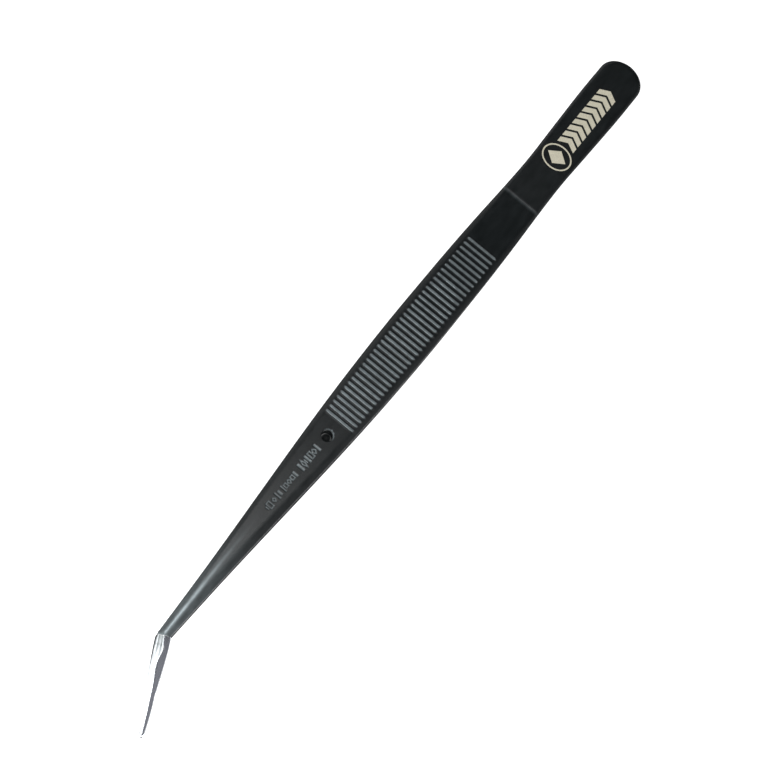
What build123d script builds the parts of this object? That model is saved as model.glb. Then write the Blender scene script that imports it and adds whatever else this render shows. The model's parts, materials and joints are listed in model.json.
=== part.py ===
"""Bent-tip precision tweezers, 160 mm long, serrated grips and a guide pin.

Two spring-steel leaves lie tail to tail and are spot welded together. A pressed
crease marks where each tail ends and its springy arm begins. Each arm is cut
from its tail here and hinged at the crease, in place of the bending steel.

Design frame, used while building each leaf: X runs along the leaf from the
crease (X = 0) to the tip, Y runs across it towards the side the tips bend to,
and Z is the closing direction, with the two leaves meeting on Z = 0. The arms
are drawn closed, then opened by OPEN_ANGLE, and the whole is laid down on its
lower leaf with the middle of its footprint at the origin.
"""

import os
from math import cos, pi, radians, sin

from build123d import *

# Overall sizes, mm
TAIL_LENGTH = 33.5
SHAFT_LENGTH = 108.3
TIP_LENGTH = 20.0
TIP_BEND = 26.7
TAIL_THICKNESS = 1.3
MATING_GAP = 0.03

# Plan of the tail
BUTT_HALF_WIDTH = 4.5
BUTT_END_DEPTH = 3.5
TAIL_WAIST_X = -7.0
TAIL_WAIST_HALF_WIDTH = 4.1
CREASE_HALF_WIDTH = 4.3
EDGE_BEVEL_WIDTH = 0.55
EDGE_BEVEL_DROP = 0.22
# Sideways slope of the tail's edges where they run into the crease
CREASE_FLARE = 0.05

# Flexing knuckle at the crease
KNUCKLE_RADIUS = 0.62
SEAT_RADIUS = 0.65
SEAT_EDGE_X = -0.12
HINGE_Z = TAIL_THICKNESS / 2
OPEN_ANGLE = 2.7
# Turn that lays the open tweezers down on the butt and the belly of the lower leaf
LAY_ANGLE = 4.231

# Serrated grip
RIDGE_COUNT = 39
RIDGE_FIRST_X = 12.0
RIDGE_PITCH = 1.14
RIDGE_WIDTH = 0.62
RIDGE_RISE = 0.28
RIDGE_HEIGHT = 0.6
RIDGE_LENGTH_END = 6.7
RIDGE_LENGTH_MIDDLE = 7.2

# Guide pin and its two holes
PIN_X = 59.1
GUIDE_HOLE_DIAMETER = 2.8
PIN_DIAMETER = 2.2
PIN_SHANK_DIAMETER = 1.6
PIN_LENGTH = 9.4
PIN_FOOT_Z = -4.75
PIN_SHOULDER_Z = -4.0
PIN_NOSE_LENGTH = 0.9
PIN_NOSE_DIAMETER = 0.9

# Spot welds between the tails
WELD_X = (-24.0, -10.0)
WELD_DIAMETER = 3.0
WELD_THICKNESS = 0.6

# Arm stations: x, half width, inner face height, thickness, bevel width, bevel drop
ARM_STATIONS = [
    (0.0, 4.30, 0.03, 1.24, 0.65, 0.26),
    (6.0, 4.58, 0.25, 1.25, 0.90, 0.34),
    (14.0, 4.84, 0.85, 1.30, 1.03, 0.38),
    (24.0, 4.97, 1.72, 1.42, 1.10, 0.42),
    (34.0, 5.00, 2.55, 1.50, 1.12, 0.45),
    (44.0, 4.81, 3.12, 1.50, 1.10, 0.45),
    (54.0, 4.44, 3.35, 1.50, 1.08, 0.45),
    (64.0, 3.88, 3.20, 1.55, 1.12, 0.43),
    (74.0, 3.23, 2.66, 1.65, 1.15, 0.45),
    (84.0, 2.57, 1.78, 1.80, 1.15, 0.47),
    (94.0, 1.97, 0.80, 1.95, 1.13, 0.50),
    (102.0, 1.58, 0.18, 2.05, 1.10, 0.50),
]
# The same columns at the bend, and along the tip from the bend
BEND_STATION = (0.0, 1.30, MATING_GAP, 2.05, 0.96, 0.52)
TIP_STATIONS = [
    (3.0, 1.55, MATING_GAP, 1.90, 1.19, 0.86),
    (6.0, 1.42, MATING_GAP, 1.73, 1.10, 0.82),
    (9.0, 1.18, MATING_GAP, 1.53, 0.93, 0.66),
    (12.0, 0.97, MATING_GAP, 1.30, 0.74, 0.52),
    (15.0, 0.83, MATING_GAP, 1.08, 0.62, 0.44),
    (17.5, 0.71, MATING_GAP, 0.92, 0.52, 0.36),
    (TIP_LENGTH, 0.56, MATING_GAP, 0.80, 0.40, 0.28),
]
TIP_END_RADIUS = 0.50
# How far the top edge of the tip stands from its middle line, as a share of half width
TIP_RIDGE_SHIFT = 0.10


def section(centre, turn, stretch, station, shift=0.0):
    """Six-cornered cross-section of a leaf, square to a path turned by an angle."""
    half_width, inner, thickness, bevel, drop = station
    outer = inner + thickness
    corners = [
        (-half_width, inner),
        (half_width, inner),
        (half_width, outer - drop),
        (half_width - bevel + shift, outer),
        (bevel - half_width + shift, outer),
        (-half_width, outer - drop),
    ]
    across_x = -sin(radians(turn)) * stretch
    across_y = cos(radians(turn)) * stretch
    points = [(centre[0] + across_x * y, centre[1] + across_y * y, z) for y, z in corners]
    return Face(Wire.make_polygon(points, close=True))


def arm():
    """Upper arm, closed: shaft and bent tip, with the knuckle at its root."""
    bend = section(
        (SHAFT_LENGTH, 0.0), TIP_BEND / 2, 1 / cos(radians(TIP_BEND / 2)), BEND_STATION[1:]
    )
    shaft_sections = [section((x, 0.0), 0.0, 1.0, row) for x, *row in ARM_STATIONS]
    shaft = loft(shaft_sections + [bend])
    run_x = cos(radians(TIP_BEND))
    run_y = sin(radians(TIP_BEND))
    tip_sections = [bend]
    for along, *row in TIP_STATIONS:
        centre = (SHAFT_LENGTH + along * run_x, along * run_y)
        tip_sections.append(section(centre, TIP_BEND, 1.0, row, TIP_RIDGE_SHIFT * row[0]))
    tip = loft(tip_sections)
    round_at = TIP_LENGTH - TIP_END_RADIUS
    size = 4 * TIP_END_RADIUS
    corners = Pos(size / 2, 0, 0) * Box(size, size, size) - Cylinder(TIP_END_RADIUS, size)
    place = Pos(SHAFT_LENGTH + round_at * run_x, round_at * run_y, 0) * Rot(0, 0, TIP_BEND)
    tip -= place * corners
    root = Pos(0, 0, HINGE_Z) * Rot(90, 0, 0) * Cylinder(KNUCKLE_RADIUS, 2 * CREASE_HALF_WIDTH)
    return shaft + tip + root


def outer_height(x):
    """Height of an arm's outer face above the mating plane, from its stations."""
    for near, far in zip(ARM_STATIONS, ARM_STATIONS[1:]):
        if near[0] <= x <= far[0]:
            share = (x - near[0]) / (far[0] - near[0])
            start = near[2] + near[3]
            return start + share * (far[2] + far[3] - start)
    raise ValueError("no station spans this x")


def ridges():
    """Cross ridges of the grip, flat-topped bars that stand on the arm's outer face."""
    bars = []
    for i in range(RIDGE_COUNT):
        x = RIDGE_FIRST_X + i * RIDGE_PITCH
        bow = sin(pi * i / (RIDGE_COUNT - 1))
        length = RIDGE_LENGTH_END + (RIDGE_LENGTH_MIDDLE - RIDGE_LENGTH_END) * bow
        top = outer_height(x) + RIDGE_RISE
        bars.append(Pos(x, 0, top - RIDGE_HEIGHT / 2) * Box(RIDGE_WIDTH, length, RIDGE_HEIGHT))
    return bars


def tail():
    """Upper tail, flat on the mating plane, with the knuckle's seat across its crease end."""
    start_x = BUTT_END_DEPTH - TAIL_LENGTH
    butt = EllipticalCenterArc(
        (start_x, 0), BUTT_END_DEPTH, BUTT_HALF_WIDTH, start_angle=90, arc_size=180
    )
    sides = []
    for side in (1, -1):
        sides.append(
            Spline(
                (start_x, side * BUTT_HALF_WIDTH),
                (TAIL_WAIST_X, side * TAIL_WAIST_HALF_WIDTH),
                (SEAT_EDGE_X, side * CREASE_HALF_WIDTH),
                tangents=[(1, 0), (1, side * CREASE_FLARE)],
            )
        )
    crease = Line((SEAT_EDGE_X, -CREASE_HALF_WIDTH), (SEAT_EDGE_X, CREASE_HALF_WIDTH))
    plate = extrude(make_face(Wire([butt, sides[1], crease, sides[0]])), TAIL_THICKNESS)
    top = plate.faces().sort_by(Axis.Z)[-1]
    rim = top.edges().sort_by(Axis.X)[:-1]
    plate = chamfer(rim, EDGE_BEVEL_WIDTH, EDGE_BEVEL_DROP, reference=top)
    seat = Pos(0, 0, HINGE_Z) * Rot(90, 0, 0) * Cylinder(SEAT_RADIUS, 4 * CREASE_HALF_WIDTH)
    return plate - seat


def opened(shape, side):
    """An arm's part swung outward about its hinge: side is 1 for the upper, -1 for the lower."""
    pivot = Pos(0, 0, side * HINGE_Z)
    return pivot * Rot(0, -side * OPEN_ANGLE, 0) * pivot.inverse() * shape


def hole_tool(diameter):
    """Upright cylinder that bores an arm at the guide pin's place."""
    return Pos(PIN_X, 0, 0) * Cylinder(diameter / 2, 4 * PIN_LENGTH)


upper_tail = tail()
lower_tail = mirror(upper_tail, about=Plane.XY)
welds = [Pos(x, 0, 0) * Cylinder(WELD_DIAMETER / 2, WELD_THICKNESS) for x in WELD_X]
for weld in welds:
    upper_tail -= weld
    lower_tail -= weld

blank = arm()
for ridge in ridges():
    blank += ridge
upper_arm = blank - hole_tool(GUIDE_HOLE_DIAMETER)
lower_arm = mirror(blank, about=Plane.XY) - hole_tool(PIN_SHANK_DIAMETER)

shank_height = PIN_SHOULDER_Z - PIN_FOOT_Z
body_height = PIN_LENGTH - shank_height - PIN_NOSE_LENGTH
shank = Pos(0, 0, PIN_FOOT_Z + shank_height / 2) * Cylinder(PIN_SHANK_DIAMETER / 2, shank_height)
barrel = Pos(0, 0, PIN_SHOULDER_Z + body_height / 2) * Cylinder(PIN_DIAMETER / 2, body_height)
nose_z = PIN_SHOULDER_Z + body_height + PIN_NOSE_LENGTH / 2
nose = Pos(0, 0, nose_z) * Cone(PIN_DIAMETER / 2, PIN_NOSE_DIAMETER / 2, PIN_NOSE_LENGTH)
guide_pin = Pos(PIN_X, 0, 0) * (shank + barrel + nose) - lower_arm

nodes = {
    "upper_tail": upper_tail,
    "lower_tail": lower_tail,
    "rear_weld": welds[0],
    "front_weld": welds[1],
    "upper_arm": opened(upper_arm, 1),
    "lower_arm": opened(lower_arm, -1),
    "guide_pin": opened(guide_pin, -1),
}

laid = {name: Rot(0, -LAY_ANGLE, 0) * shape for name, shape in nodes.items()}
box = Compound(children=[Compound([shape]) for shape in laid.values()]).bounding_box()
centre = box.center()
settle = Pos(-centre.X, -centre.Y, -box.min.Z)

os.makedirs("parts", exist_ok=True)
for name, shape in laid.items():
    export_step(settle * shape, f"parts/{name}.step")
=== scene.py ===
"""Bent-tip tweezers with serrated grips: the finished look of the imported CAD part.

Each leaf is one continuous mesh from butt to bent tip, made from cross-sections along
its length and bent between the tail and the arm where the real steel flexes. Leaf
sizes are in mm in the leaf's own frame: X runs from the crease towards the tip, Y
across it towards the side the tip bends to, Z outward from the plane where the two
leaves meet. PLACE turns that frame into the row frame, in metres.
"""

import json
from math import cos, hypot, pi, radians, sin, tan

import bmesh
import bpy
import numpy as np
from mathutils import Matrix, Vector


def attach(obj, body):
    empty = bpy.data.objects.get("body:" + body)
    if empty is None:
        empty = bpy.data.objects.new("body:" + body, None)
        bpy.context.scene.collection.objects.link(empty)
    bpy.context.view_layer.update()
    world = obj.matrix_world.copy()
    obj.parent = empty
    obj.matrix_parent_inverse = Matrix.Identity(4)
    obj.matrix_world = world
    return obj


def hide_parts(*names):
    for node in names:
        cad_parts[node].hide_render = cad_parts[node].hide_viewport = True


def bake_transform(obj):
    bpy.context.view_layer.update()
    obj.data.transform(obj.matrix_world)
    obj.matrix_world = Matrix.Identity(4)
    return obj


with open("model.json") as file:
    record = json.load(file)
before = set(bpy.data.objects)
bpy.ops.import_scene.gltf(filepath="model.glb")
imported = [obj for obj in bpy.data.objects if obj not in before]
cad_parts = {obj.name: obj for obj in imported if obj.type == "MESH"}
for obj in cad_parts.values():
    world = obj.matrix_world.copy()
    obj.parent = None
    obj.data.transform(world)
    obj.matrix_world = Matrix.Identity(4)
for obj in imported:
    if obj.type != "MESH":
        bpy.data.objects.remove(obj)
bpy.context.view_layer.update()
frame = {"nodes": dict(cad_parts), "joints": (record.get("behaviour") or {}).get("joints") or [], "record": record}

# ---------------------------------------------------------------- placement

MM = 0.001
joints = {joint["name"]: joint for joint in frame["joints"]}
mounts = {mount["name"]: mount for mount in frame["record"]["mounts"]}
UPPER_HINGE = Vector(joints["upper_arm_flex"]["pos_m"])
LOWER_HINGE = Vector(joints["lower_arm_flex"]["pos_m"])
OPEN_ANGLE = radians(joints["upper_arm_flex"]["range_deg"][1])
OUTWARD = Vector(mounts["upper_tail_face"]["axis"]).normalized()
ACROSS = Vector((0, 1, 0))
ALONG = ACROSS.cross(OUTWARD)
ORIGIN = (UPPER_HINGE + LOWER_HINGE) / 2
PLACE = Matrix.Translation(ORIGIN) @ Matrix((ALONG, ACROSS, OUTWARD)).transposed().to_4x4()
PLACE = PLACE @ Matrix.Scale(MM, 4)

# ---------------------------------------------------------------- leaf sizes, mm

TAIL_LENGTH = 33.5
BUTT_DEPTH = 3.5
BUTT_START_X = BUTT_DEPTH - TAIL_LENGTH
BUTT_HALF_WIDTH = 4.5
SHAFT_LENGTH = 108.3
TIP_LENGTH = 20.0
TIP_BEND = radians(26.7)
TAIL_THICKNESS = 1.3
HINGE_Z = TAIL_THICKNESS / 2
# Half the length over which a leaf bends when it opens
FLEX_HALF_LENGTH = 0.8
# Least half width of a ring where the butt and the point close up
LEAST_HALF_WIDTH = 0.03

# Along the tail and shaft: x, half width, inner height, thickness, then the width and
# drop of the left bevel, and the width and drop of the right bevel
SHAFT = np.array(
    [
        (-30.0, 4.50, 0.00, 1.30, 0.55, 0.22, 0.55, 0.22),
        (-25.0, 4.54, 0.00, 1.30, 0.55, 0.22, 0.55, 0.22),
        (-15.0, 4.31, 0.00, 1.30, 0.55, 0.22, 0.55, 0.22),
        (-7.0, 4.10, 0.00, 1.30, 0.55, 0.22, 0.55, 0.22),
        (0.0, 4.30, 0.02, 1.27, 0.65, 0.26, 0.65, 0.26),
        (6.0, 4.58, 0.25, 1.25, 0.90, 0.34, 0.90, 0.34),
        (14.0, 4.84, 0.85, 1.30, 1.00, 0.38, 1.05, 0.38),
        (24.0, 4.97, 1.72, 1.42, 1.05, 0.42, 1.15, 0.42),
        (34.0, 5.00, 2.55, 1.50, 1.05, 0.45, 1.20, 0.45),
        (44.0, 4.81, 3.12, 1.50, 1.05, 0.45, 1.15, 0.45),
        (54.0, 4.44, 3.35, 1.50, 1.00, 0.45, 1.15, 0.45),
        (64.0, 3.88, 3.20, 1.55, 0.95, 0.40, 1.30, 0.46),
        (74.0, 3.23, 2.66, 1.65, 0.85, 0.37, 1.45, 0.52),
        (84.0, 2.57, 1.78, 1.80, 0.75, 0.34, 1.50, 0.52),
        (94.0, 1.97, 0.80, 1.95, 0.78, 0.35, 1.40, 0.48),
        (102.0, 1.57, 0.18, 2.05, 0.88, 0.40, 1.20, 0.43),
        (108.3, 1.26, 0.03, 2.05, 0.78, 0.36, 0.96, 0.36),
    ]
)
# Along the bent tip: distance from the bend, left and right half widths, thickness,
# and the ridge line's place across the width
TIP = np.array(
    [
        (0.0, 1.28, 1.26, 2.03, -0.05),
        (0.6, 1.58, 1.48, 2.00, 0.02),
        (1.6, 1.62, 1.50, 1.97, 0.12),
        (2.8, 1.61, 1.49, 1.92, 0.33),
        (4.0, 1.58, 1.43, 1.86, 0.10),
        (5.2, 1.53, 1.36, 1.78, -0.18),
        (6.4, 1.47, 1.29, 1.70, -0.33),
        (8.0, 1.36, 1.18, 1.60, -0.24),
        (9.5, 1.22, 1.05, 1.49, -0.10),
        (11.0, 1.08, 0.95, 1.38, -0.04),
        (11.5, 1.04, 0.88, 1.34, -0.05),
        (13.5, 0.92, 0.88, 1.19, -0.05),
        (15.5, 0.78, 0.80, 1.04, -0.04),
        (17.5, 0.64, 0.66, 0.90, -0.05),
        (20.0, 0.50, 0.43, 0.80, -0.10),
    ]
)
TIP_NOSE = 0.5
TIP_NOSE_LIFT = 0.12
TIP_INNER_HEIGHT = 0.03
TIP_RIDGE_HALF_WIDTH = 0.05
# Tilt of the tip's two ground faces, left and right of the ridge line
TIP_LEFT_TILT = radians(28.5)
TIP_RIGHT_TILT = radians(36.5)
# The tip's ground left edge: places along the tip, its width there, and its steepness
TIP_EDGE_PLACES = (1.0, 9.0)
TIP_EDGE_WIDTHS = (0.34, 0.08)
TIP_EDGE_STEEPNESS = 0.84
# Grinding streaks: where they end, their strength right of the ridge line, and the
# mark for the painted highlight on the rim where the coating ends
TIP_STREAKS_END = 7.5
TIP_RIGHT_STREAKS = 0.4
PAINTED_RIM_HIGHLIGHT = 2.0

# Radii of a ring's seven corners. Shaft: inner left, outer left, the left bevel's
# middle, panel left, panel right, outer right, inner right. Tip: inner left, the left
# edge's foot and top, both sides of the ridge line, outer right, inner right.
INNER_RADIUS = 0.12
EDGE_RADIUS = 0.16
PANEL_RADIUS = 0.45
SHAFT_RADII = (
    INNER_RADIUS,
    EDGE_RADIUS,
    EDGE_RADIUS,
    PANEL_RADIUS,
    PANEL_RADIUS,
    EDGE_RADIUS,
    INNER_RADIUS,
)
TIP_RADII = (0.10, 0.04, 0.04, 0.05, 0.05, 0.12, 0.10)
# Fall of the outer panel's sides below its middle, reached over a length of the arm
CROWN = 0.04
CROWN_FROM_X = 1.0
CROWN_REACH = 8
CROWN_LEAST_WIDTH = 0.6

# Pressed and cut details on the outer face
CREASE_HALF_WIDTH = 0.42
CREASE_DEPTH = 0.07
# Painted highlight along the crease: how far the coating is lightened there
CREASE_HIGHLIGHT = 0.17
RIDGE_COUNT = 39
RIDGE_FIRST_X = 12.0
RIDGE_PITCH = 1.14
RIDGE_HALF_WIDTH_FIRST = 0.27
RIDGE_HALF_WIDTH_LAST = 0.31
RIDGE_RISE = 0.25
RIDGE_FLANK = 0.10
RIDGE_HALF_LENGTH_END = 3.38
RIDGE_HALF_LENGTH_MIDDLE = 3.62
# Lightening of the ridges' crowns, partly coating wear and partly painted highlight: at the
# first ridge, its loss by the last, and the share of a ridge's height where it starts and
# the share over which it grows
RIDGE_WEAR_AND_HIGHLIGHT = 1.15
RIDGE_WEAR_AND_HIGHLIGHT_LOSS = 0.42
RIDGE_WEAR_AND_HIGHLIGHT_START = 0.55
RIDGE_WEAR_AND_HIGHLIGHT_SPAN = 0.4
STAMP_X = (61.9, 77.4)
STAMP_Y = -0.05
STAMP_HALF_WIDTH = 0.12
# Place along the leaf, figure, half length and half height of each stamped figure
STAMP_FIGURES = [
    (62.15, "bar", 0.10, 0.80),
    (63.10, "lozenge", 0.42, 0.55),
    (64.05, "frame", 0.34, 0.72),
    (65.00, "bar", 0.10, 0.78),
    (65.55, "bar", 0.02, 0.40),
    (66.15, "lozenge", 0.30, 0.80),
    (67.05, "bar", 0.12, 0.80),
    (68.75, "bar", 0.10, 0.55),
    (69.60, "frame", 0.32, 0.42),
    (70.60, "lozenge", 0.40, 0.45),
    (71.60, "frame", 0.30, 0.42),
    (72.35, "bar", 0.02, 0.72),
    (73.40, "bar", 0.12, 0.50),
    (74.10, "bar", 0.02, 0.74),
    (75.10, "lozenge", 0.38, 0.42),
    (76.40, "frame", 0.38, 0.70),
    (77.20, "bar", 0.02, 0.30),
]
STAMP_DEPTH = 0.08
STAMP_FLANK = 0.10
# Lightening of the stamped strokes, bare metal and painted glint: at the row's start, and its loss by the row's
# end
STAMP_WEAR_AND_GLINT = 0.64
STAMP_WEAR_AND_GLINT_LOSS = 0.24
# Painted highlight on the narrow end of the shaft: a painted sheen over the whole face, and a painted highlight
# line along its middle
PAINTED_SHEEN_FROM_X = 78.5
PAINTED_SHEEN_ALL_OVER = 0.36
PAINTED_HIGHLIGHT_LINE = 0.85
PAINTED_HIGHLIGHT_WIDTH = 0.36
COATING_END = 0.20
# Guide pin's and hole's place; the hole's radius, chamfer, height of its rim on the
# closed leaf, and how far the cut starts below and ends above the steel
PIN_X = 59.1
GUIDE_HOLE_RADIUS = 1.15
GUIDE_HOLE_CHAMFER = 0.15
GUIDE_HOLE_TOP = 4.86
GUIDE_HOLE_START = 1.0
GUIDE_HOLE_CLEAR = 0.6
# Painted highlight on the butt side of the hole's rim: its height, depth and the way it faces
RIM_HEIGHT = 4.8
RIM_DEPTH = 0.6
RIM_HIGHLIGHT_SIDE = (-0.97, 0.25)
WELD_X = (-24.0, -10.0)
WELD_RADIUS = 1.5
WELD_HALF_THICKNESS = 0.3

# Mesh density
TOP_COLUMNS = 54
INNER_COLUMNS = 8
CORNER_STEPS = 4
BUTT_RINGS = 22
NOSE_RINGS = 9
TURNED_STEPS = 48
HOLE_STEPS = 64
# First and last point of a ring's top panel, between its rounded corners
TOP_START = 3 * (CORNER_STEPS + 1)
TOP_END = TOP_START + 2 * (CORNER_STEPS + 1) + TOP_COLUMNS - 1


def smoothstep(values):
    """0 below 0, 1 above 1, and an S-curve between."""
    t = np.clip(values, 0.0, 1.0)
    return t * t * (3 - 2 * t)


def follow(table, column, at):
    """Smooth curve through one column of a table, read at positions along column 0."""
    xs, ys = table[:, 0], table[:, column]
    slopes = np.gradient(ys, xs)
    i = np.clip(np.searchsorted(xs, at) - 1, 0, len(xs) - 2)
    step = xs[i + 1] - xs[i]
    t = np.clip((at - xs[i]) / step, 0.0, 1.0)
    start = (1 + 2 * t) * (1 - t) ** 2 * ys[i] + t * (1 - t) ** 2 * step * slopes[i]
    end = t * t * (3 - 2 * t) * ys[i + 1] + t * t * (t - 1) * step * slopes[i + 1]
    return start + end


def ridge_height(x, y):
    """Height of the grip's cross ridges over the panel: flat bars with round ends."""
    i = np.clip(np.round((x - RIDGE_FIRST_X) / RIDGE_PITCH), 0, RIDGE_COUNT - 1)
    bow = np.sin(pi * i / (RIDGE_COUNT - 1))
    reach = RIDGE_HALF_LENGTH_END + (RIDGE_HALF_LENGTH_MIDDLE - RIDGE_HALF_LENGTH_END) * bow
    growth = (RIDGE_HALF_WIDTH_LAST - RIDGE_HALF_WIDTH_FIRST) * i / (RIDGE_COUNT - 1)
    half = RIDGE_HALF_WIDTH_FIRST + growth
    beyond = np.maximum(np.abs(y) - (reach - half), 0.0)
    outside = np.hypot(x - RIDGE_FIRST_X - i * RIDGE_PITCH, beyond) - half
    return smoothstep(0.5 - outside / (2 * RIDGE_FLANK))


def stamp_distance(x, y):
    """Distance from the nearest stroke of a row of plain stamped frames, lozenges and bars."""
    nearest = np.full(np.broadcast(x, y).shape, np.inf)
    for at, figure, half_length, half_height in STAMP_FIGURES:
        dx, dy = x - at, y - STAMP_Y
        if figure == "frame":
            reach = np.maximum(np.abs(dx) - half_length, np.abs(dy) - half_height)
            distance = np.abs(reach)
        elif figure == "lozenge":
            reach = np.abs(dx) / half_length + np.abs(dy) / half_height - 1
            distance = np.abs(reach) * half_length * half_height / hypot(half_length, half_height)
        else:
            past_length = np.maximum(np.abs(dx) - half_length, 0)
            past_height = np.maximum(np.abs(dy) - half_height, 0)
            distance = np.hypot(past_length, past_height)
        nearest = np.minimum(nearest, distance)
    return nearest


def leaf_rings(marked):
    """Rings of points of one closed leaf, and how far each point's colour is lightened: coating wear, and painted
    highlights.
    """
    butt = BUTT_START_X - BUTT_DEPTH * np.sin(np.linspace(pi / 2, 0, BUTT_RINGS))
    ridge_last_x = RIDGE_FIRST_X + RIDGE_PITCH * (RIDGE_COUNT - 1)
    # Places of the rings, closer together where the face has detail
    shaft_s = np.concatenate(
        [
            butt[:-1],
            np.arange(BUTT_START_X, -1.2, 1.2),  # tail
            np.arange(-1.2, 1.2, 0.1),  # crease
            np.arange(1.2, RIDGE_FIRST_X - 0.8, 0.8),  # start of the arm
            np.arange(RIDGE_FIRST_X - 0.7, ridge_last_x + 0.7, 0.095),  # ridges
            np.arange(56.1, 61.2, 0.24),  # around the guide hole
            np.arange(61.2, 78.2, 0.11 if marked else 1.0),  # stamped row
            np.arange(78.4, 107.2, 1.0),  # taper
            np.array([107.4, 107.8]),  # just before the bend
        ]
    )
    tip_s = np.concatenate(
        [
            np.array([0.0, COATING_END, COATING_END + 0.14, 0.6, 0.9]),  # coating's end
            np.arange(1.25, TIP_LENGTH - TIP_NOSE, 0.4),
            TIP_LENGTH - TIP_NOSE + TIP_NOSE * np.sin(np.linspace(0, pi / 2, NOSE_RINGS)),
        ]
    )
    rings = [shaft_ring(s, marked) for s in shaft_s] + [tip_ring(s) for s in tip_s]
    points = np.array([ring[0] for ring in rings])
    wear_and_sheen = np.array([ring[1] for ring in rings])
    return points, wear_and_sheen, len(shaft_s)


def corner_ring(corners, radii):
    """Closed outline through seven rounded corners, with extra points across its two wide faces."""
    corners = [np.array(c, float) for c in corners]
    count = len(corners)
    arcs = []
    for i, corner in enumerate(corners):
        before, after = corners[i - 1] - corner, corners[(i + 1) % count] - corner
        length_before, length_after = np.linalg.norm(before), np.linalg.norm(after)
        reach = min(radii[i], 0.45 * length_before, 0.45 * length_after)
        start = corner + before / max(length_before, 1e-9) * reach
        end = corner + after / max(length_after, 1e-9) * reach
        t = np.linspace(0, 1, CORNER_STEPS + 1)[:, None]
        arcs.append((1 - t) ** 2 * start + 2 * t * (1 - t) * corner + t * t * end)
    outline = []
    for i, arc in enumerate(arcs):
        outline.append(arc)
        columns = {3: TOP_COLUMNS, 6: INNER_COLUMNS}.get(i)
        if columns:
            t = np.linspace(0, 1, columns + 1)[1:-1, None]
            outline.append(arc[-1] + (arcs[(i + 1) % count][0] - arc[-1]) * t)
    return np.concatenate(outline)


def shaft_ring(s, marked):
    """One ring across the tail or shaft at x = s."""
    sizes = [float(follow(SHAFT, c, np.array(max(s, BUTT_START_X)))) for c in range(1, 8)]
    half, inner, thickness, bevel_left, drop_left, bevel_right, drop_right = sizes
    left, right = bevel_left - half, half - bevel_right
    outer = inner + thickness
    edge_left, edge_right = outer - drop_left, outer - drop_right
    beyond = max(BUTT_START_X - s, 0.0)
    if beyond:
        round_off = max(1 - (beyond / BUTT_DEPTH) ** 2, 0.0) ** 0.5
        half = max(BUTT_HALF_WIDTH * round_off, LEAST_HALF_WIDTH)
        inset = BUTT_DEPTH - bevel_left
        panel = (BUTT_HALF_WIDTH - bevel_left) * max(1 - (beyond / inset) ** 2, 0.0) ** 0.5
        panel = min(max(panel, 0.02), 0.9 * half)
        left, right = -panel, panel
        outer -= drop_left * max(beyond - inset, 0.0) / bevel_left
    corners = [
        (-half, inner),
        (-half, edge_left),
        (-0.7 * half + 0.3 * left, 0.7 * edge_left + 0.3 * outer),
        (left, outer),
        (right, outer),
        (half, edge_right),
        (half, inner),
    ]
    ring = corner_ring(corners, SHAFT_RADII)
    y = ring[TOP_START:TOP_END, 0]
    top = ring[TOP_START:TOP_END, 1]
    wear_and_sheen = np.zeros(len(ring))
    outer_face = slice(CORNER_STEPS + 1, -INNER_COLUMNS - CORNER_STEPS)
    if s > CROWN_FROM_X:
        width = max(right - left, CROWN_LEAST_WIDTH)
        across = np.clip((y - (left + right) / 2) / width * 2, -1, 1)
        top -= CROWN * smoothstep((s - CROWN_FROM_X) / CROWN_REACH) * across**2
    if abs(s) < 2:
        groove = np.exp(-((s / CREASE_HALF_WIDTH) ** 2) * 2)
        ring[outer_face, 1] -= CREASE_DEPTH * groove
        # Painted highlight along the crease
        wear_and_sheen[outer_face] = CREASE_HIGHLIGHT * groove
    if RIDGE_FIRST_X - 1 < s < RIDGE_FIRST_X + RIDGE_PITCH * RIDGE_COUNT:
        height = ridge_height(np.array(s), y)
        top += (outer + RIDGE_RISE - top) * height
        along = (s - RIDGE_FIRST_X) / (RIDGE_PITCH * (RIDGE_COUNT - 1))
        # Ridge crowns lightened: coating wear and painted highlight
        crowns = smoothstep((height - RIDGE_WEAR_AND_HIGHLIGHT_START) / RIDGE_WEAR_AND_HIGHLIGHT_SPAN)
        wear_and_sheen[TOP_START:TOP_END] = (RIDGE_WEAR_AND_HIGHLIGHT - RIDGE_WEAR_AND_HIGHLIGHT_LOSS * along) * crowns
    if marked and STAMP_X[0] - 1 < s < STAMP_X[1] + 1:
        depth_in = STAMP_HALF_WIDTH - stamp_distance(np.array(s), y)
        stroke = smoothstep(depth_in / STAMP_FLANK + 0.5)
        top -= STAMP_DEPTH * stroke
        # Stamped strokes lightened: bare metal in the strokes and painted glint
        along = smoothstep((s - STAMP_X[0]) / (STAMP_X[1] - STAMP_X[0]))
        stroke_wear_and_glint = STAMP_WEAR_AND_GLINT - STAMP_WEAR_AND_GLINT_LOSS * along
        wear_and_sheen[TOP_START:TOP_END] = np.maximum(wear_and_sheen[TOP_START:TOP_END], stroke_wear_and_glint * stroke)
    # Painted sheen and painted highlight line along the narrow end of the shaft
    if s > PAINTED_SHEEN_FROM_X:
        lightened = smoothstep((s - PAINTED_SHEEN_FROM_X) / (SHAFT_LENGTH - PAINTED_SHEEN_FROM_X))
        highlight_line = np.exp(-(((ring[:, 0] - (left + right) / 2) / PAINTED_HIGHLIGHT_WIDTH) ** 2))
        wear_and_sheen[outer_face] = (lightened * (PAINTED_SHEEN_ALL_OVER + PAINTED_HIGHLIGHT_LINE * highlight_line))[outer_face]
    points = np.column_stack([np.full(len(ring), s), ring[:, 0], ring[:, 1]])
    return points, wear_and_sheen


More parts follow.
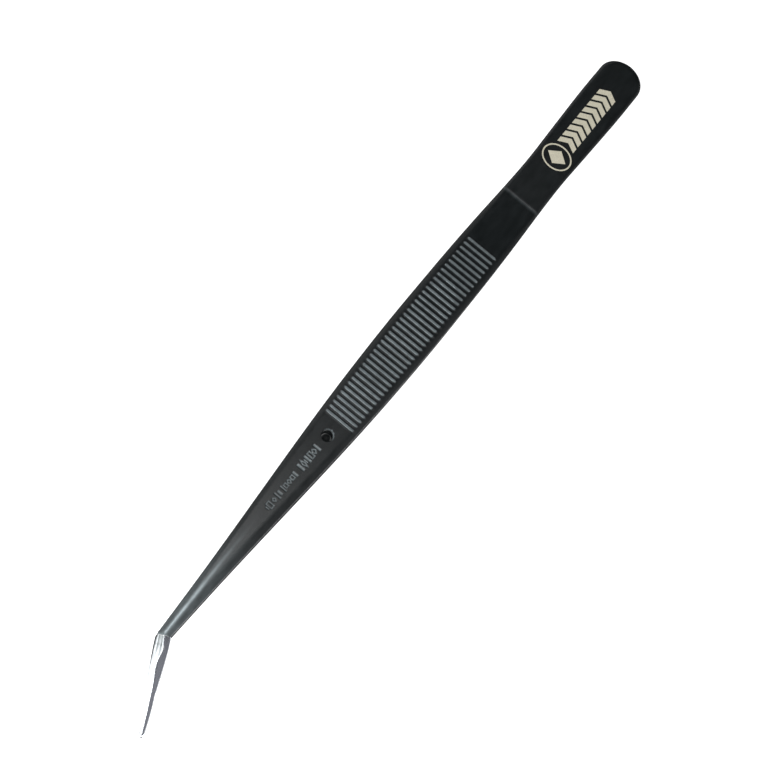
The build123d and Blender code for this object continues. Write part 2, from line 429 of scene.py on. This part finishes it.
def tip_ring(s):
    """One ring across the bent tip, s mm beyond the bend."""
    left, right, thickness, peak = (float(follow(TIP, c, np.array(s))) for c in range(1, 5))
    nose = max(s - (TIP_LENGTH - TIP_NOSE), 0.0) / TIP_NOSE
    round_off = max(1 - nose**2, 0.0) ** 0.5
    left = max(left * round_off, LEAST_HALF_WIDTH)
    right = max(right * round_off, LEAST_HALF_WIDTH)
    peak *= round_off
    inner = TIP_INNER_HEIGHT + TIP_NOSE_LIFT * (1 - round_off)
    outer = inner + thickness
    flat = min(TIP_RIDGE_HALF_WIDTH, 0.4 * right)
    edge = float(np.interp(s, TIP_EDGE_PLACES, TIP_EDGE_WIDTHS)) * round_off
    edge_z = outer - (left + peak) * tan(TIP_LEFT_TILT)
    corners = [
        (-left, inner),
        (-left, edge_z - TIP_EDGE_STEEPNESS * edge),
        (edge - left, edge_z),
        (peak - flat, outer),
        (peak + flat, outer),
        (right, outer - (right - peak) * tan(TIP_RIGHT_TILT)),
        (right, inner),
    ]
    ring = corner_ring(corners, TIP_RADII)
    turn = TIP_BEND / 2 if s == 0 else TIP_BEND
    stretch = 1 / cos(TIP_BEND / 2) if s == 0 else 1.0
    x = SHAFT_LENGTH + s * cos(TIP_BEND) - ring[:, 0] * sin(turn) * stretch
    y = s * sin(TIP_BEND) + ring[:, 0] * cos(turn) * stretch
    # Painted sheen and highlight line carried onto the coated start of the tip
    if s < COATING_END:
        wear_and_sheen = PAINTED_SHEEN_ALL_OVER + PAINTED_HIGHLIGHT_LINE * np.exp(-((ring[:, 0] / PAINTED_HIGHLIGHT_WIDTH) ** 2))
    elif s == COATING_END:
        # Painted highlight on the rim where the coating ends
        wear_and_sheen = np.full(len(ring), PAINTED_RIM_HIGHLIGHT)
    else:
        streaked = smoothstep((TIP_STREAKS_END - s) / TIP_STREAKS_END)
        wear_and_sheen = streaked * np.where(ring[:, 0] < peak, 1.0, TIP_RIGHT_STREAKS)
    return np.column_stack([x, y, ring[:, 1]]), wear_and_sheen


def opened(points, side):
    """Points of a closed leaf, swung open about its hinge: side is 1 above, -1 below."""
    bent = (points[..., 0] + FLEX_HALF_LENGTH) / (2 * FLEX_HALF_LENGTH)
    angle = OPEN_ANGLE * smoothstep(bent)
    x, z = points[..., 0], points[..., 2] - HINGE_Z
    turned = np.empty_like(points)
    turned[..., 0] = x * np.cos(angle) - z * np.sin(angle)
    turned[..., 1] = points[..., 1]
    turned[..., 2] = side * (x * np.sin(angle) + z * np.cos(angle) + HINGE_Z)
    return turned


def new_object(name, mesh):
    """New object of the mesh, linked into the scene."""
    piece = bpy.data.objects.new(name, mesh)
    bpy.context.scene.collection.objects.link(piece)
    return piece


def shade(mesh, angle=40):
    """Smooth shading with creases kept where faces meet at more than the angle."""
    mesh.polygons.foreach_set("use_smooth", [True] * len(mesh.polygons))
    mesh.set_sharp_from_angle(angle=radians(angle))


def leaf_mesh(name, side, marked):
    """One whole leaf as a closed mesh in leaf mm, opened."""
    points, wear_and_sheen, shaft_count = leaf_rings(marked)
    rings, around = points.shape[:2]
    vertices = opened(points, side).reshape(-1, 3)
    faces = []
    for i in range(rings - 1):
        a, b = i * around, (i + 1) * around
        for j in range(around):
            k = (j + 1) % around
            quad = (a + j, a + k, b + k, b + j)
            faces.append(quad if side < 0 else quad[::-1])
    first = tuple(range(around))
    last = tuple(range((rings - 1) * around, rings * around))
    faces.append(first[::-1] if side < 0 else first)
    faces.append(last if side < 0 else last[::-1])
    mesh = bpy.data.meshes.new(name)
    mesh.from_pydata(vertices.tolist(), [], faces)
    mesh.materials.append(coating)
    mesh.materials.append(steel)
    bare_from = (shaft_count + 1) * around
    slots = [1 if min(face) >= bare_from else 0 for face in faces]
    mesh.polygons.foreach_set("material_index", slots)
    attribute = mesh.attributes.new("wear_and_sheen", "FLOAT", "POINT")
    attribute.data.foreach_set("value", wear_and_sheen.reshape(-1).astype(np.float32))
    mesh.update()
    return mesh


def turned_mesh(name, profile, centre, side, steps=TURNED_STEPS):
    """Closed body turned from (radius, height) points about an upright axis, in leaf mm."""
    mesh = bpy.data.meshes.new(name)
    work = bmesh.new()
    rings = []
    for radius, z in profile:
        ring = []
        for k in range(steps):
            angle = 2 * pi * k / steps
            at = (centre + radius * cos(angle), radius * sin(angle), z)
            ring.append(work.verts.new(at))
        rings.append(ring)
    for low, high in zip(rings, rings[1:]):
        for k in range(steps):
            work.faces.new((low[k], low[(k + 1) % steps], high[(k + 1) % steps], high[k]))
    work.faces.new(rings[0][::-1])
    work.faces.new(rings[-1])
    for vertex in work.verts:
        vertex.co = Vector(opened(np.array(vertex.co), side)) if side else vertex.co
    bmesh.ops.recalc_face_normals(work, faces=work.faces)
    work.to_mesh(mesh)
    work.free()
    return mesh


def cut(piece, cutters):
    """Boolean cuts, applied."""
    for cutter_mesh in cutters:
        cutter = new_object("cutter", cutter_mesh)
        modifier = piece.modifiers.new("cut", "BOOLEAN")
        modifier.operation = "DIFFERENCE"
        modifier.solver = "EXACT"
        modifier.object = cutter
        graph = bpy.context.evaluated_depsgraph_get()
        result = bpy.data.meshes.new_from_object(piece.evaluated_get(graph), depsgraph=graph)
        piece.modifiers.clear()
        old = piece.data
        piece.data = result
        result.name = old.name
        bpy.data.meshes.remove(old)
        bpy.data.objects.remove(cutter)
        bpy.data.meshes.remove(cutter_mesh)


def paint_hole_rim_highlight(mesh):
    """Paints a highlight into the colour of the butt side of the guide hole's chamfered rim."""
    centre = opened(np.array([PIN_X, 0.0, RIM_HEIGHT]), 1)
    points = np.empty(len(mesh.vertices) * 3, np.float32)
    mesh.vertices.foreach_get("co", points)
    dx, dy, dz = (points.reshape(-1, 3) - centre).T
    distance = np.hypot(dx, dy)
    rim_radius = GUIDE_HOLE_RADIUS + GUIDE_HOLE_CHAMFER + 0.03
    rim_highlight = (distance < rim_radius) & (np.abs(dz) < RIM_DEPTH)
    towards = RIM_HIGHLIGHT_SIDE[0] * dx + RIM_HIGHLIGHT_SIDE[1] * dy
    facing = np.clip(towards / np.maximum(distance, 0.01), 0, 1)
    wear_and_sheen = np.empty(len(mesh.vertices), np.float32)
    mesh.attributes["wear_and_sheen"].data.foreach_get("value", wear_and_sheen)
    wear_and_sheen[rim_highlight] = facing[rim_highlight]
    mesh.attributes["wear_and_sheen"].data.foreach_set("value", wear_and_sheen)


# ---------------------------------------------------------------- materials


class Nodes:
    """Short way to add and link the nodes of one material."""

    def __init__(self, name):
        self.material = bpy.data.materials.new(name)
        self.material.use_nodes = True
        self.tree = self.material.node_tree
        self.shader = self.tree.nodes["Principled BSDF"]

    def add(self, kind, inputs=None, **settings):
        """New node with its settings, and with its inputs linked or set."""
        node = self.tree.nodes.new(kind)
        for key, value in settings.items():
            setattr(node, key, value)
        for key, value in (inputs or {}).items():
            self.feed(node.inputs[key], value)
        return node

    def feed(self, socket, value):
        """Links another node's output into the socket, or sets a plain value on it."""
        if isinstance(value, bpy.types.NodeSocket):
            self.tree.links.new(value, socket)
        else:
            socket.default_value = value

    def to_shader(self, name, value):
        """Feeds one of the shader's own inputs."""
        self.feed(self.shader.inputs[name], value)

    def noise(self, scale, detail=3.0, stretch=(1, 1, 1), turn=0.0, roughness=0.5):
        """Noise in object space, per metre, drawn out by the stretch along turned axes."""
        place = self.add("ShaderNodeTexCoord").outputs["Object"]
        mapping = self.add(
            "ShaderNodeMapping",
            {"Vector": place, "Rotation": (0, 0, turn), "Scale": stretch},
            vector_type="TEXTURE",
        )
        texture = self.add(
            "ShaderNodeTexNoise",
            {
                "Vector": mapping.outputs[0],
                "Scale": scale,
                "Detail": detail,
                "Roughness": roughness,
            },
        )
        return texture.outputs["Fac"]

    def spread(self, value, low, high, new_low, new_high):
        """Maps the range low to high onto new_low to new_high, held at its ends."""
        node = self.add(
            "ShaderNodeMapRange",
            {
                "Value": value,
                "From Min": low,
                "From Max": high,
                "To Min": new_low,
                "To Max": new_high,
            },
        )
        return node.outputs[0]

    def mix(self, factor, first, second):
        """Mix of two colours; the colour sockets of the node are its inputs 6 and 7."""
        node = self.add("ShaderNodeMix", {0: factor, 6: first, 7: second}, data_type="RGBA")
        return node.outputs[2]

    def maths(self, operation, first, second):
        """One sum or product of two values."""
        node = self.add("ShaderNodeMath", {0: first, 1: second}, operation=operation)
        return node.outputs[0]

    def bump(self, height, distance):
        """Fine relief of the surface; the distance is its depth in metres."""
        node = self.add("ShaderNodeBump", {"Height": height, "Distance": distance, "Strength": 1.0})
        self.to_shader("Normal", node.outputs[0])


# Colours, linear, with alpha
COATING_DARK = (0.0032, 0.0050, 0.0056, 1)
COATING_PALE = (0.0055, 0.0078, 0.0088, 1)
# Grey of rubbed coating, also used for the painted highlights on the coating
COATING_WORN_AND_LIT = (0.225, 0.262, 0.276, 1)
STEEL_POLISHED = (0.66, 0.69, 0.72, 1)
STEEL_STREAK = (0.18, 0.20, 0.20, 1)
# Painted highlight on the rim where the coating ends
STEEL_RIM_HIGHLIGHT = (0.9, 0.9, 0.9, 1)
WELD_DARK = (0.24, 0.24, 0.25, 1)
WELD_PALE = (0.48, 0.47, 0.46, 1)
MARK_DARK = (0.55, 0.52, 0.40, 1)
MARK_PALE = (0.72, 0.68, 0.54, 1)


def black_coating():
    """Thin satin black coating on steel, lightened to grey where the wear_and_sheen attribute says: rubbed wear,
    and painted highlights.
    """
    m = Nodes("black_coating")
    wear_and_sheen = m.add("ShaderNodeAttribute", attribute_name="wear_and_sheen").outputs["Fac"]
    patches = m.noise(900, 4, (2.8, 1, 1))
    speckle = m.noise(9000, 2)
    lightened = m.maths("MULTIPLY", wear_and_sheen, m.spread(patches, 0.35, 0.7, 0.65, 1.0))
    cloud = m.mix(m.spread(patches, 0.35, 0.65, 0, 1), COATING_DARK, COATING_PALE)
    m.to_shader("Base Color", m.mix(lightened, cloud, COATING_WORN_AND_LIT))
    m.to_shader("Metallic", m.maths("MULTIPLY", lightened, 0.5))
    m.to_shader("Specular IOR Level", 0.3)
    grain = m.maths("ADD", patches, m.maths("MULTIPLY", speckle, 0.4))
    m.to_shader("Roughness", m.spread(grain, 0.4, 0.9, 0.30, 0.40))
    m.bump(speckle, 0.000012)
    return m.material


def bare_steel():
    """Polished stainless steel, with grinding streaks along the start of the tip and a painted highlight on the
    rim where the coating ends.
    """
    m = Nodes("bare_steel")
    streaks_and_rim = m.add("ShaderNodeAttribute", attribute_name="wear_and_sheen").outputs["Fac"]
    rim_highlight = m.spread(streaks_and_rim, 1.0, PAINTED_RIM_HIGHLIGHT, 0, 1)
    streaks = m.noise(1500, 4, (16, 0.55, 1), TIP_BEND)
    fine = m.noise(5200, 3, (30, 0.8, 1), TIP_BEND)
    both = m.maths("ADD", m.maths("MULTIPLY", streaks, 0.7), m.maths("MULTIPLY", fine, 0.3))
    reach = m.spread(streaks_and_rim, 0.0, 0.8, 0.1, 1)
    ground = m.maths("MULTIPLY", m.spread(both, 0.45, 0.63, 1, 0), reach)
    colour = m.mix(ground, STEEL_POLISHED, STEEL_STREAK)
    m.to_shader("Base Color", m.mix(rim_highlight, colour, STEEL_RIM_HIGHLIGHT))
    m.to_shader("Metallic", 1.0)
    roughness = m.spread(ground, 0, 1, 0.09, 0.17)
    m.to_shader("Roughness", m.maths("ADD", roughness, m.maths("MULTIPLY", rim_highlight, 0.3)))
    m.bump(both, 0.00003)
    return m.material


def weld_steel():
    """Dull, mottled weld metal."""
    m = Nodes("weld_steel")
    mottle = m.noise(1500, 4)
    m.to_shader("Base Color", m.mix(mottle, WELD_DARK, WELD_PALE))
    m.to_shader("Metallic", 0.9)
    m.to_shader("Roughness", m.spread(mottle, 0.3, 0.7, 0.4, 0.6))
    m.bump(mottle, 0.00005)
    return m.material


def laser_mark():
    """Matt beige laser marking with a faint grain."""
    m = Nodes("laser_mark")
    grain = m.noise(7000, 3)
    tint = m.spread(grain, 0.35, 0.65, 0, 1)
    m.to_shader("Base Color", m.mix(tint, MARK_DARK, MARK_PALE))
    m.to_shader("Roughness", m.spread(grain, 0.3, 0.7, 0.6, 0.75))
    m.bump(grain, 0.000015)
    return m.material


coating = black_coating()
steel = bare_steel()

# ---------------------------------------------------------------- leaves

hole_profile = [
    (GUIDE_HOLE_RADIUS, GUIDE_HOLE_START),
    (GUIDE_HOLE_RADIUS, GUIDE_HOLE_TOP - GUIDE_HOLE_CHAMFER),
    (
        GUIDE_HOLE_RADIUS + GUIDE_HOLE_CHAMFER + GUIDE_HOLE_CLEAR,
        GUIDE_HOLE_TOP + GUIDE_HOLE_CLEAR,
    ),
]
for level, side in (("upper", 1), ("lower", -1)):
    piece = new_object(f"{level}_leaf", leaf_mesh(f"{level}_leaf", side, marked=side > 0))
    cutters = []
    for x in WELD_X:
        disc = [(WELD_RADIUS, -WELD_HALF_THICKNESS), (WELD_RADIUS, WELD_HALF_THICKNESS)]
        cutters.append(turned_mesh("pocket", disc, x, 0))
    if side > 0:
        cutters.append(turned_mesh("hole", hole_profile, PIN_X, side, steps=HOLE_STEPS))
    cut(piece, cutters)
    if side > 0:
        # Painted highlight on the guide hole's rim
        paint_hole_rim_highlight(piece.data)
    piece.data.transform(PLACE)
    shade(piece.data)
    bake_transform(piece)
    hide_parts(f"{level}_tail", f"{level}_arm")

# ---------------------------------------------------------------- guide pin

# Radius and height of the pin's outline, from the nose down to the riveted end
pin_profile = [
    (0.55, 4.84),
    (0.80, 4.78),
    (0.82, 4.70),
    (0.80, 4.0),
    (1.02, 3.4),
    (1.08, 3.25),
    (1.08, -4.25),
    (1.03, -4.42),
    (0.90, -4.56),
    (0.70, -4.62),
    (0.05, -4.65),
]
pin = new_object("guide_pin_turned", turned_mesh("guide_pin_turned", pin_profile, PIN_X, -1))
pin.data.transform(PLACE)
shade(pin.data)
pin.data.materials.append(coating)
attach(pin, "lower_leaf_arm")
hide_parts("guide_pin")

weld_look = weld_steel()
for name in ("rear_weld", "front_weld"):
    frame["nodes"][name].data.materials.clear()
    frame["nodes"][name].data.materials.append(weld_look)

# ---------------------------------------------------------------- plain mark on the tail

MARK_RISE = 0.012
MARK_TOP = TAIL_THICKNESS + MARK_RISE
MARK_SINK = 0.06
OVAL_CENTRE_X = -11.0
OVAL_OUTER = (2.35, 3.15)
OVAL_INNER = (2.08, 2.86)
LOZENGE = (1.45, 2.15)
CHEVRON_COUNT = 9
CHEVRON_FIRST_X = -14.5
CHEVRON_PITCH = 1.48
CHEVRON_THICKNESS = 1.05
CHEVRON_HALF_HEIGHT = 1.95
CHEVRON_REACH = 0.95
CIRCLE_STEPS = 48


def plate(work, outline, hole=None):
    """Adds a thin plate on the tail's outer face, with straight sides sunk into it."""
    low, high = TAIL_THICKNESS - MARK_SINK, MARK_TOP
    loops = [outline] + ([hole] if hole else [])
    made = []
    for loop in loops:
        bottom = [work.verts.new((x, y, low)) for x, y in loop]
        top = [work.verts.new((x, y, high)) for x, y in loop]
        for k in range(len(loop)):
            n = (k + 1) % len(loop)
            work.faces.new((bottom[k], bottom[n], top[n], top[k]))
        made.append((bottom, top))
    if hole:
        for level in (0, 1):
            outer_loop, inner_loop = made[0][level], made[1][level]
            for k in range(len(outer_loop)):
                n = (k + 1) % len(outer_loop)
                work.faces.new((outer_loop[k], outer_loop[n], inner_loop[n], inner_loop[k]))
    else:
        work.faces.new(made[0][0])
        work.faces.new(made[0][1])


mark_mesh = bpy.data.meshes.new("tail_mark")
mark = bmesh.new()
circle = []
for k in range(CIRCLE_STEPS):
    angle = 2 * pi * k / CIRCLE_STEPS
    circle.append((cos(angle), sin(angle)))
plate(
    mark,
    [(OVAL_CENTRE_X + OVAL_OUTER[0] * c, OVAL_OUTER[1] * s) for c, s in circle],
    [(OVAL_CENTRE_X + OVAL_INNER[0] * c, OVAL_INNER[1] * s) for c, s in circle],
)
quarters = circle[:: CIRCLE_STEPS // 4]
plate(mark, [(OVAL_CENTRE_X + LOZENGE[0] * c, LOZENGE[1] * s) for c, s in quarters])
for k in range(CHEVRON_COUNT):
    x = CHEVRON_FIRST_X - k * CHEVRON_PITCH
    h, reach, thick = CHEVRON_HALF_HEIGHT, CHEVRON_REACH, CHEVRON_THICKNESS
    for side in (-1, 1):
        plate(mark, [(x, 0), (x - thick, 0), (x - thick + reach, side * h), (x + reach, side * h)])
bmesh.ops.recalc_face_normals(mark, faces=mark.faces)
mark.to_mesh(mark_mesh)
mark.free()
tail_mark = new_object("tail_mark", mark_mesh)
mark_mesh.transform(PLACE)
mark_mesh.materials.append(laser_mark())
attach(tail_mark, "tail")

# ---------------------------------------------------------------- floor, light and camera

FLOOR_SIZE = 3.0
FLOOR_GLOW = 0.9
WORLD_STRENGTH = 0.10

bpy.ops.mesh.primitive_plane_add(size=FLOOR_SIZE, location=(0, 0, 0))
floor = bpy.context.object
floor.name = "floor"
ground = Nodes("pale_floor")
ground.to_shader("Base Color", (0.9, 0.9, 0.9, 1))
ground.to_shader("Roughness", 0.9)
ground.to_shader("Emission Color", (1, 1, 1, 1))
ground.to_shader("Emission Strength", FLOOR_GLOW)
floor.data.materials.append(ground.material)

world = bpy.data.worlds.new("studio")
bpy.context.scene.world = world
world.use_nodes = True
background = world.node_tree.nodes["Background"]
background.inputs["Color"].default_value = (1, 1, 1, 1)
background.inputs["Strength"].default_value = WORLD_STRENGTH

VIEW_CENTRE = PLACE @ Vector((44.05, 0.98, 7.0))


def soft_light(name, place, aim, size, radiance, colour=(1, 1, 1)):
    """Oblong area light; its place and the point it aims at are mm from the view's middle."""
    data = bpy.data.lights.new(name, "AREA")
    data.shape = "RECTANGLE"
    data.size, data.size_y = size[0] * MM, size[1] * MM
    data.energy = radiance * pi * data.size * data.size_y
    data.color = colour
    light = bpy.data.objects.new(name, data)
    bpy.context.scene.collection.objects.link(light)
    to_row = PLACE.to_3x3()
    light.location = VIEW_CENTRE + to_row @ Vector(place)
    direction = to_row @ (Vector(aim) - Vector(place))
    light.rotation_euler = direction.to_track_quat("-Z", "Y").to_euler()


soft_light("front", (102, -12, 215), (102, -12, 0), (150, 90), radiance=8.0)
soft_light("middle", (36, 0, 230), (36, 0, 0), (110, 120), radiance=1.2)
soft_light("left", (0, -500, 350), (0, 0, 0), (900, 350), radiance=1.9)
soft_light("right", (0, 500, 350), (0, 0, 0), (900, 260), radiance=1.8)
COOL_VIOLET = (0.96, 0.94, 1.08)
soft_light("low_right", (0, 540, 110), (0, 0, 0), (900, 130), radiance=0.22, colour=COOL_VIOLET)

# Camera: distance and width of the view in mm, its lean along and across the leaf, and
# the directions across and up the picture, in the leaf's frame
CAMERA_DISTANCE = 3000.0
VIEW_WIDTH = 145.9
TIP_LEAN = radians(3.0)
SIDE_TILT = radians(1.2)
PICTURE_RIGHT = Vector((-0.6337, 0.7736, 0)).normalized()
PICTURE_UP = Vector((-0.7736, -0.6337, 0)).normalized()
SENSOR_WIDTH = 36.0

lean = Matrix.Rotation(TIP_LEAN, 3, Vector((0, 1, 0)))
tilt = lean @ Matrix.Rotation(-SIDE_TILT, 3, Vector((1, 0, 0)))
back = Vector((0, 0, 1))
turn = Matrix((tilt @ PICTURE_RIGHT, tilt @ PICTURE_UP, tilt @ back)).transposed()
row_turn = (PLACE.to_3x3() * (1 / MM)) @ turn
camera_data = bpy.data.cameras.new("camera")
camera_data.sensor_width = SENSOR_WIDTH
camera_data.lens = SENSOR_WIDTH * CAMERA_DISTANCE / VIEW_WIDTH
camera_data.clip_start = 0.01
camera = bpy.data.objects.new("camera", camera_data)
bpy.context.scene.collection.objects.link(camera)
step_back = Matrix.Translation((0, 0, CAMERA_DISTANCE * MM))
camera.matrix_world = Matrix.Translation(VIEW_CENTRE) @ row_turn.to_4x4() @ step_back
bpy.context.scene.camera = camera
bpy.context.scene.view_settings.view_transform = "Standard"
